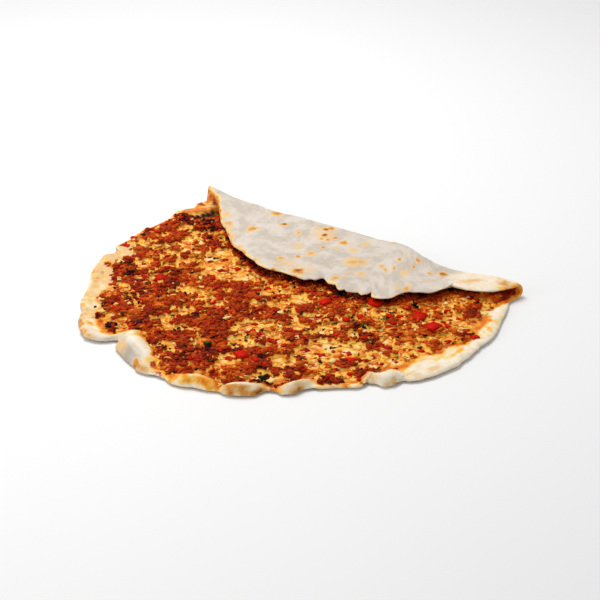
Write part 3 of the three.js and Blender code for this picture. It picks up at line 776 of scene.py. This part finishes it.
def icosphere(rounds):
    """A unit ball of triangles: 20, or 80 once divided."""
    g = (1 + 5**0.5) / 2
    points = [(-1, g, 0), (1, g, 0), (-1, -g, 0), (1, -g, 0), (0, -1, g), (0, 1, g),
              (0, -1, -g), (0, 1, -g), (g, 0, -1), (g, 0, 1), (-g, 0, -1), (-g, 0, 1)]
    faces = [(0, 11, 5), (0, 5, 1), (0, 1, 7), (0, 7, 10), (0, 10, 11), (1, 5, 9), (5, 11, 4), (11, 10, 2),
             (10, 7, 6), (7, 1, 8), (3, 9, 4), (3, 4, 2), (3, 2, 6), (3, 6, 8), (3, 8, 9), (4, 9, 5),
             (2, 4, 11), (6, 2, 10), (8, 6, 7), (9, 8, 1)]
    points = [np.array(p) / np.linalg.norm(p) for p in points]
    for _ in range(rounds):
        middles, finer = {}, []

        def middle(a, b):
            key = (min(a, b), max(a, b))
            if key not in middles:
                p = points[a] + points[b]
                middles[key] = len(points)
                points.append(p / np.linalg.norm(p))
            return middles[key]

        for a, b, c in faces:
            ab, bc, ca = middle(a, b), middle(b, c), middle(c, a)
            finer += [(a, ab, ca), (b, bc, ab), (c, ca, bc), (ab, bc, ca)]
        faces = finer
    return np.array(points), np.array(faces)


def rounded_die(roundness):
    """A cube with two squares along each edge, its corners drawn in, as quads."""
    points, faces, index = [], [], {}

    def corner(p):
        if p not in index:
            index[p] = len(points)
            points.append(p)
        return index[p]

    for axis in range(3):
        u, v = (axis + 1) % 3, (axis + 2) % 3
        for side in (-1, 1):
            for a, b in ((-1, -1), (0, -1), (-1, 0), (0, 0)):
                quad = []
                for da, db in ((0, 0), (1, 0), (1, 1), (0, 1)):
                    p = [0, 0, 0]
                    p[axis], p[u], p[v] = side, a + da, b + db
                    quad.append(corner(tuple(p)))
                faces.append(quad if side > 0 else quad[::-1])
    points = np.array(points, float)
    ball = points / np.linalg.norm(points, axis=1, keepdims=True)
    return mix(points, ball, roundness), np.array(faces)


def sliver():
    """A thin curved strip, thickest in its middle, of six rings of squares."""
    rings = 6
    along = np.linspace(-1, 1, rings + 1)
    half = 0.34 * np.sqrt(np.maximum(0.05, 1 - along**2))
    bow = 0.45 * along**2
    corners = [(1, 0), (0, 1), (-1, 0), (0, -1)]
    points = [(x, b + h * ry, h * rz) for x, h, b in zip(along, half, bow) for ry, rz in corners]
    faces = [(4 * k + i, 4 * k + (i + 1) % 4, 4 * k + 4 + (i + 1) % 4, 4 * k + 4 + i)
             for k in range(rings) for i in range(4)]
    faces += [(3, 2, 1, 0), tuple(range(4 * rings, 4 * rings + 4))]
    return np.array(points), np.array(faces)[:, ::-1]


def leaf():
    """A flat torn scrap of leaf with a wavy edge, two faces thick."""
    count = 9
    corner = np.arange(count)
    turns = corner / count * 2 * math.pi
    radius = 1 + 0.28 * np.sin(3 * turns + 0.7) + 0.15 * np.sin(4 * turns)
    rim = np.stack([radius * np.cos(turns), 0.62 * radius * np.sin(turns), 0.25 * np.sin(2 * turns)], -1)
    points = np.concatenate([rim, [[0, 0, 0.14], [0, 0, -0.06]]])
    following = (corner + 1) % count
    upper = np.stack([corner, following, np.full(count, count)], -1)
    lower = np.stack([following, corner, np.full(count, count + 1)], -1)
    return points, np.concatenate([upper, lower])


# Things to be strewn: their places, their half sizes, and the draw that made them
Strewn = collections.namedtuple("Strewn", "s e sizes draw")


def ground(s, e):
    """Height over the sheet's middle of what the strewn things lie on."""
    upper = upper_offset(s, e)
    return np.maximum(upper + bed_height(s, e), upper)


def strew(name, shape, things, tone, sunk, dent, tilt, lift=0, soft=True):
    """One mesh of many copies of a small shape, each sized, dented and turned by itself. They are sunk by a
    share of their height, dented by a share of their size, and tilted by up to some radians."""
    base, faces = shape
    s, e, sizes, draw = things
    count = len(sizes)
    points = base[None] * sizes[:, None, :] * (1 + dent * draw.normal(size=(count, len(base), 1)))
    lean, spin = draw.uniform(-tilt, tilt, count), draw.uniform(0, 2 * math.pi, count)
    c, w = np.cos(lean)[:, None], np.sin(lean)[:, None]
    x, y, z = points[..., 0], points[..., 1] * c - points[..., 2] * w, points[..., 1] * w + points[..., 2] * c
    c, w = np.cos(spin)[:, None], np.sin(spin)[:, None]
    x, y = x * c - y * w, x * w + y * c
    at = np.stack(lay(s, e, ground(s, e) + sizes[:, 2] * (1 - 2 * sunk) + lift), -1)
    points = placed(at[:, None, 0] + x, at[:, None, 1] + y, at[:, None, 2] + z).reshape(-1, 3)
    faces = (faces[None] + (np.arange(count) * len(base))[:, None, None]).reshape(-1, faces.shape[1])
    flat = np.repeat(np.stack([s, e, spin * 9], -1), len(base), 0) + np.tile(base * 2, (count, 1))
    return new_mesh(name, points, faces, {"tone": np.repeat(tone, len(base)), "flat": flat}, soft)


def chance(covered, bared, thin=0.2):
    """How likely a thing is kept where the dough is covered and where it is bared."""
    return lambda s, e: mix(covered, bared, smooth(-0.3, thin, thinness(s, e)))


def drawn(draw, low, high, count):
    """Numbers drawn between two, or all the same where these are."""
    return np.full(count, low) if low == high else draw.uniform(low, high, count)


def strewn(spacing, seed, margin, likely, long, wide, thick, large=()):
    """Things on a jittered grid over the open spread, a margin in from its edge. Their widths and thicknesses
    are shares of their lengths. The large ones, each an s, an e and a half length, come first."""
    draw = np.random.default_rng(seed)
    line = np.arange(-FIELD, FIELD, spacing)
    s, e = (a.ravel() for a in np.meshgrid(line, line - CREASE_OFFSET))
    s = s + draw.uniform(-JITTER, JITTER, s.size) * spacing
    e = e + draw.uniform(-JITTER, JITTER, e.size) * spacing
    inside = ragged_inset(s, e) > margin + 1.2 * noise(s, e, 6, seed) - 0.5
    inside &= spread_inset(s, e) > -1
    inside &= (e < STREWN_END) & (under_flap(s, e) < STREWN_UNDER_FLAP)
    s, e = s[inside], e[inside]
    keep = draw.random(s.size) < likely(s, e)
    large = np.array(large, float).reshape(-1, 3)
    half = np.concatenate([large[:, 2], draw.uniform(*long, keep.sum())])
    sizes = np.stack([half] + [half * drawn(draw, *shares, half.size) for shares in (wide, thick)], -1)
    return Strewn(np.concatenate([large[:, 0], s[keep]]), np.concatenate([large[:, 1], e[keep]]), sizes, draw)


def make_mince_grains():
    things = strewn(2.3, 201, 0.5, chance(0.92, 0.02, 0.05), (0.8, 2), (0.6, 0.95), (0.35, 0.55))
    tone = clump_tone_and_shade(things.s, things.e) + things.draw.normal(0, 0.06, things.s.size)
    return strew("mince_grains", icosphere(0), things, tone, 0.42, 0.2, 0.7, soft=False)


def make_paste_grains():
    things = strewn(3.6, 211, 0.5, chance(0.75, 0.03, 0.05), (0.8, 2.2), (0.6, 0.9), (0.25, 0.4))
    tone = 0.45 + 0.4 * ripples(things.s, things.e, 9, 133) + things.draw.normal(0, 0.08, things.s.size)
    return strew("paste_grains", icosphere(0), things, tone, 0.35, 0.2, 0.5, soft=False)


def make_mince_lumps():
    def likely(s, e):
        return np.where(thinness(s, e) < -0.2, 0.8, 0)

    things = strewn(5.6, 202, 2, likely, (1.7, 3.6), (0.5, 0.8), (0.3, 0.42))
    things.sizes[:, 2] = np.minimum(things.sizes[:, 2], 1.1)
    tone = clump_tone_and_shade(things.s, things.e) + things.draw.normal(0, 0.07, things.s.size)
    return strew("mince_lumps", icosphere(1), things, tone, 0.48, 0.24, 0.5, soft=False)


def make_pepper_dice():
    large = [(a, b, 0.9 * size) for a, b, size in PEPPER_PLACES]
    things = strewn(10, 203, 2, chance(0.8, 0.8), (0.9, 2.2), (0.7, 1), (0.14, 0.22), large)
    red, redder = (0.4, 0.8, len(large)), (0, 0.6, things.s.size - len(large))
    tone = np.concatenate([things.draw.uniform(*red), things.draw.uniform(*redder)])
    return strew("pepper_dice", rounded_die(0.12), things, tone, 0.1, 0.1, 0.12, 0.1, soft=False)


def make_onion_bits():
    things = strewn(6.2, 204, 1.5, chance(0.3, 0.6), (0.9, 2.4), (0.5, 0.9), (0.18, 0.3), ONION_PLACES)
    large = np.arange(things.s.size) < len(ONION_PLACES)
    tone = np.where(large, 0.7, things.draw.uniform(0, 0.85, large.size) ** 1.8)
    return strew("onion_bits", rounded_die(0.4), things, tone, 0.42, 0.2, 0.4, 0.5 * large, soft=False)


def make_onion_slivers():
    things = strewn(11, 214, 1.5, chance(0.6, 0.6), (1.4, 3), (0.7, 1), (0.4, 0.6))
    tone = things.draw.uniform(0, 0.8, things.s.size)
    return strew("onion_slivers", sliver(), things, tone, 0.42, 0.05, 0.3)


def make_herb_flecks():
    things = strewn(9, 205, 1, chance(0.55, 0.15), (1.1, 2.5), (0.5, 1), (0.8, 0.8), HERB_PLACES)
    tone = things.draw.uniform(0, 1, things.s.size)
    lift = 0.7 + (np.arange(tone.size) < len(HERB_PLACES))
    return strew("herb_flecks", leaf(), things, tone, 0.5, 0.08, 0.4, lift)


def make_roasted_and_shade_bits():
    def likely(s, e):
        return chance(0.16, 0.05)(s, e) + 0.6 * roast_and_shade_of(s, e) ** 2

    # Dark crumbs at the listed spots and where the mince is roasted or in painted shade; some listed spots are
    # painted shade
    large = [(a, b, min(0.6 * size, 2)) for a, b, size in ROASTED_AND_SHADED_PLACES]
    things = strewn(6.6, 206, 0.5, likely, (0.7, 1.6), (0.5, 0.9), (0.35, 0.5), large)
    tone = things.draw.uniform(0, 1, things.s.size)
    return strew("roasted_and_shade_bits", icosphere(1), things, tone, 0.35, 0.2, 0.5, 0.15)


# Shader sums

def joined_by(operation, swapped=False):
    """A way to join a wire with a number or another wire by one sum."""
    def joined(self, other):
        first, second = (other, self) if swapped else (self, other)
        return Wire.node("Math", {"operation": operation}, {0: first, 1: second})
    return joined


class Wire:
    """A value on its way through a material, which can be written in plain sums."""

    tree = None
    __add__, __radd__ = joined_by("ADD"), joined_by("ADD", True)
    __sub__, __rsub__ = joined_by("SUBTRACT"), joined_by("SUBTRACT", True)
    __mul__, __rmul__ = joined_by("MULTIPLY"), joined_by("MULTIPLY", True)

    def __init__(self, socket):
        self.socket = socket

    @classmethod
    def node(cls, kind, settings, inputs, output=0):
        """A node of any other kind: its settings first, then the values or wires of its sockets."""
        made = cls.tree.nodes.new("ShaderNode" + kind)
        for key, value in settings.items():
            setattr(made, key, value)
        for key, value in inputs.items():
            if isinstance(value, Wire):
                cls.tree.links.new(value.socket, made.inputs[key])
            else:
                made.inputs[key].default_value = value
        return cls(made.outputs[output])


def seen(red, green, blue):
    """A colour as it is seen, 0 to 255, in the shader's own linear numbers."""
    return tuple((v / 255) ** 2.2 for v in (red, green, blue)) + (1,)


def mask(name, output="Fac"):
    return Wire.node("Attribute", {"attribute_name": name}, {}, output)


def speckle(size, detail=2, roughness=0.5):
    """Noise with spots of the given size in millimetres, 0 to 1."""
    inputs = {"Vector": mask("flat", "Vector"), "Scale": 1 / size, "Detail": detail, "Roughness": roughness}
    return Wire.node("TexNoise", {}, inputs, "Fac")


def between(value, low, high):
    """0 below low and 1 above high."""
    inputs = {"Value": value, "From Min": low, "From Max": high, "To Min": 0.0, "To Max": 1.0}
    return Wire.node("MapRange", {"interpolation_type": "SMOOTHSTEP"}, inputs)


def blended(share, first, second):
    settings = {"data_type": "RGBA", "clamp_factor": True}
    return Wire.node("Mix", settings, {0: share, 6: first, 7: second}, 2)


def shades(value, *stops):
    """The colour at a value; each stop is a value and a colour as it is seen."""
    ramp = Wire.node("ValToRGB", {}, {0: value})
    elements = ramp.socket.node.color_ramp.elements
    while len(elements) < len(stops):
        elements.new(1)
    for element, (position, *colour) in zip(elements, stops):
        element.position, element.color = position, seen(*colour)
    return ramp


def bumped(height, depth):
    """The surface's normal with a relief of the given depth in millimetres."""
    return Wire.node("Bump", {}, {"Height": height, "Distance": depth * MM, "Strength": 1.0}, "Normal")


def new_material(name):
    material = bpy.data.materials.new(name)
    material.use_nodes = True
    material.node_tree.nodes.clear()
    Wire.tree = material.node_tree
    return material


def finished(material, sockets):
    """The material, ended in a surface with the given sockets."""
    surface = Wire.node("BsdfPrincipled", {}, sockets)
    output = Wire.tree.nodes.new("ShaderNodeOutputMaterial")
    Wire.tree.links.new(surface.socket, output.inputs["Surface"])
    return material


# The dough's browns: from and to which degree of toasting each sets in, then the colour as it is seen
BROWNS = ((0.02, 0.4, 226, 188, 134), (0.35, 0.7, 208, 142, 72), (0.7, 1.0, 142, 76, 32))


def baked_dough():
    material = new_material("baked_dough")
    inner, toast, oil, sauce = mask("inner"), mask("toast"), mask("oil"), mask("sauce")
    broad, middling, fine = speckle(13, 4, 0.6), speckle(4.5, 3, 0.6), speckle(1.6, 2)

    floury = blended(between(broad, 0.4, 0.6), seen(213, 202, 191), seen(192, 181, 168))
    floury = blended(between(middling, 0.45, 0.72) * 0.5, floury, seen(215, 198, 172))
    cream = blended(between(middling, 0.35, 0.75), seen(240, 228, 208), seen(236, 211, 170))
    colour = blended(inner, floury, cream)

    wet = oil + (middling - 0.5) + (fine - 0.5) * 0.3
    oily = between(wet, 0.1, 0.45)
    fat = shades(wet, (0.3, 244, 214, 150), (0.55, 243, 188, 88), (0.8, 236, 150, 44), (1.05, 214, 104, 22))
    colour = blended(oily, colour, fat)
    red_brown = blended(between(middling, 0.35, 0.65), seen(156, 42, 6), seen(204, 86, 16))
    colour = blended(between(sauce + (fine - 0.5) * 0.8, 0.3, 0.7), colour, red_brown)
    # Painted shade: the dough turns a near black brown inside the fold, in the groove and on the turned rim
    shaded = between(mask("shade"), 0.06, 0.6)
    colour = blended(shaded, colour, seen(34, 10, 4))

    toasted = toast * (0.55 + middling * 0.9) + (fine - 0.5) * 0.25 * between(toast, 0.0, 0.2)
    for low, high, *brown in BROWNS:
        colour = blended(between(toasted, low, high), colour, seen(*brown))

    glossy = oily * (1 - shaded)
    return finished(material, {
        "Base Color": colour, "Roughness": 0.8 - glossy * 0.4, "Coat Weight": glossy * 0.1,
        "Coat Roughness": 0.2, "Normal": bumped(middling * 0.6 + fine * 0.4, 0.4), "Specular IOR Level": 0.12,
    })


# The mince's colours, from roasted or in painted shade to pale and oily: tone, then the colour as it is seen
MINCE_STOPS = (
    (0.0, 42, 10, 2), (0.2, 98, 26, 4), (0.4, 148, 44, 7), (0.6, 184, 66, 13), (0.8, 212, 106, 28),
    (1.0, 236, 160, 64),
)


def spread_mince():
    material = new_material("spread_mince")
    thin, fine, middling = mask("thin"), speckle(1.2, 3, 0.6), speckle(3, 2)
    colour = shades(mask("tone") + (fine - 0.5) * 0.5 + (middling - 0.5) * 0.3, *MINCE_STOPS)
    oily = between(thin + (fine - 0.5) * 0.3 + (middling - 0.5) * 0.4, 0.14, 0.46)
    fat = shades(thin + (middling - 0.5) * 0.7, (0.18, 222, 112, 22), (0.4, 246, 180, 60),
                 (0.68, 250, 214, 114), (0.92, 250, 230, 170))
    return finished(material, {
        "Base Color": blended(oily, colour, fat), "Roughness": 0.5 - oily * 0.1, "Coat Weight": oily * 0.1,
        "Coat Roughness": 0.2, "Normal": bumped(fine * 0.5 + middling, 0.7), "Specular IOR Level": 0.06,
    })


def toned(name, stops, size=1.1, share=0.35, roughness=0.5, coat=0.0, gloss=0.06, depth=0.25):
    """A material whose colour follows each piece's own tone, with mottling of a given size and share."""
    material = new_material(name)
    fine = speckle(size, 3, 0.6)
    colour = shades(mask("tone") + (fine - 0.5) * share, *stops)
    return finished(material, {
        "Base Color": colour, "Roughness": roughness, "Coat Weight": coat, "Coat Roughness": 0.12,
        "Normal": bumped(fine, depth), "Specular IOR Level": gloss,
    })


def mince_grain():
    return toned("mince_grain", MINCE_STOPS)


def pepper_paste():
    stops = ((0.1, 142, 22, 3), (0.45, 190, 48, 6), (0.75, 214, 84, 16), (1.0, 238, 148, 46))
    return toned("pepper_paste", stops)


def soft_pepper():
    stops = ((0.0, 150, 22, 4), (0.4, 188, 26, 5), (0.8, 208, 32, 8), (1.0, 220, 66, 18))
    return toned("soft_pepper", stops, size=1.6, share=0.3, coat=0.05, gloss=0.03, depth=0.1)


def cooked_onion():
    stops = ((0.0, 232, 140, 46), (0.35, 241, 184, 84), (0.7, 244, 208, 128), (1.0, 246, 226, 170))
    return toned("cooked_onion", stops, size=1.6, share=0.6, roughness=0.45, coat=0.05, gloss=0.03)


def baked_herb():
    return toned("baked_herb", ((0.0, 22, 14, 4), (0.5, 40, 34, 8), (1.0, 70, 82, 20)), size=0.9, share=0.5)


def roasted_crumb():
    return toned("roasted_crumb", ((0.0, 18, 8, 2), (0.6, 48, 18, 4), (1.0, 96, 34, 6)), size=0.7, share=0.6)


# The camera, the light and the table, in metres

VIEW_TARGET = Vector((-0.0011, -0.0138, 0))
VIEW_ELEVATION = math.radians(28.5)
VIEW_DISTANCE = 1.1
FOCAL_PIXELS, PICTURE_PIXELS, SENSOR = 1629, 600, 36
NEAREST_SEEN, FARTHEST_SEEN = 0.05, 50
DAYLIGHT = 0.52
# Square lamps: place, size, watts
LAMPS = {"overhead": ((-0.2, 0.4, 0.95), 0.5, 7.6), "fill": ((-0.8, -0.35, 0.3), 0.5, 2)}
TABLE_RADIUS, TABLE_SIDES, TABLE_HEIGHT = 12, 48, -0.2 * MM


def looking_along(direction):
    return direction.to_track_quat("-Z", "Y").to_euler()


def make_camera():
    data = bpy.data.cameras.new("camera")
    data.sensor_width = SENSOR
    data.lens = SENSOR * FOCAL_PIXELS / PICTURE_PIXELS
    data.clip_start, data.clip_end = NEAREST_SEEN, FARTHEST_SEEN
    camera = in_scene("camera", data)
    away = Vector((0, -math.cos(VIEW_ELEVATION), math.sin(VIEW_ELEVATION)))
    camera.location = VIEW_TARGET + away * VIEW_DISTANCE
    camera.rotation_euler = looking_along(-away)
    bpy.context.scene.camera = camera


def make_daylight():
    world = bpy.data.worlds.new("studio")
    world.use_nodes = True
    inputs = world.node_tree.nodes["Background"].inputs
    inputs["Color"].default_value = (1, 1, 1, 1)
    inputs["Strength"].default_value = DAYLIGHT
    bpy.context.scene.world = world


def make_lamps():
    """The lamps, each of which faces the bread."""
    for name, (place, size, watts) in LAMPS.items():
        data = bpy.data.lights.new(name, "AREA")
        data.size, data.energy = size, watts
        lamp = in_scene(name, data)
        lamp.location = place
        lamp.rotation_euler = looking_along(-Vector(place))


def pale_table():
    material = new_material("pale_table")
    inputs = {"Vector": Wire.node("TexCoord", {}, {}, "Object"), "Scale": 3.0, "Detail": 2.0}
    cloudy = Wire.node("TexNoise", {}, inputs, "Fac")
    colour = blended(cloudy, (0.84, 0.84, 0.84, 1), (0.87, 0.87, 0.865, 1))
    return finished(material, {"Base Color": colour, "Roughness": 0.6})


def make_table():
    turns = [2 * math.pi * k / TABLE_SIDES for k in range(TABLE_SIDES)]
    around = [(TABLE_RADIUS * math.cos(a), TABLE_RADIUS * math.sin(a), TABLE_HEIGHT) for a in turns]
    mesh = bpy.data.meshes.new("table_top")
    mesh.from_pydata(around, [], [tuple(range(TABLE_SIDES))])
    mesh.materials.append(pale_table())
    table = in_scene("table_top", mesh)


def dress(piece, material, replaced=None):
    piece.data.materials.append(material)
    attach(piece, "root")
    if replaced:
        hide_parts(replaced)


make_camera()
make_daylight()
make_lamps()
make_table()
dress(make_dough(), baked_dough(), "dough")
dress(make_mince_bed(), spread_mince(), "mince_topping")
grain, onion = mince_grain(), cooked_onion()
for made, material in (
    (make_mince_grains(), grain), (make_mince_lumps(), grain), (make_paste_grains(), pepper_paste()),
    (make_pepper_dice(), soft_pepper()), (make_onion_bits(), onion), (make_onion_slivers(), onion),
    (make_herb_flecks(), baked_herb()), (make_roasted_and_shade_bits(), roasted_crumb()),
):
    dress(made, material)

view = bpy.context.scene.view_settings
view.view_transform, view.look = "Standard", "None"
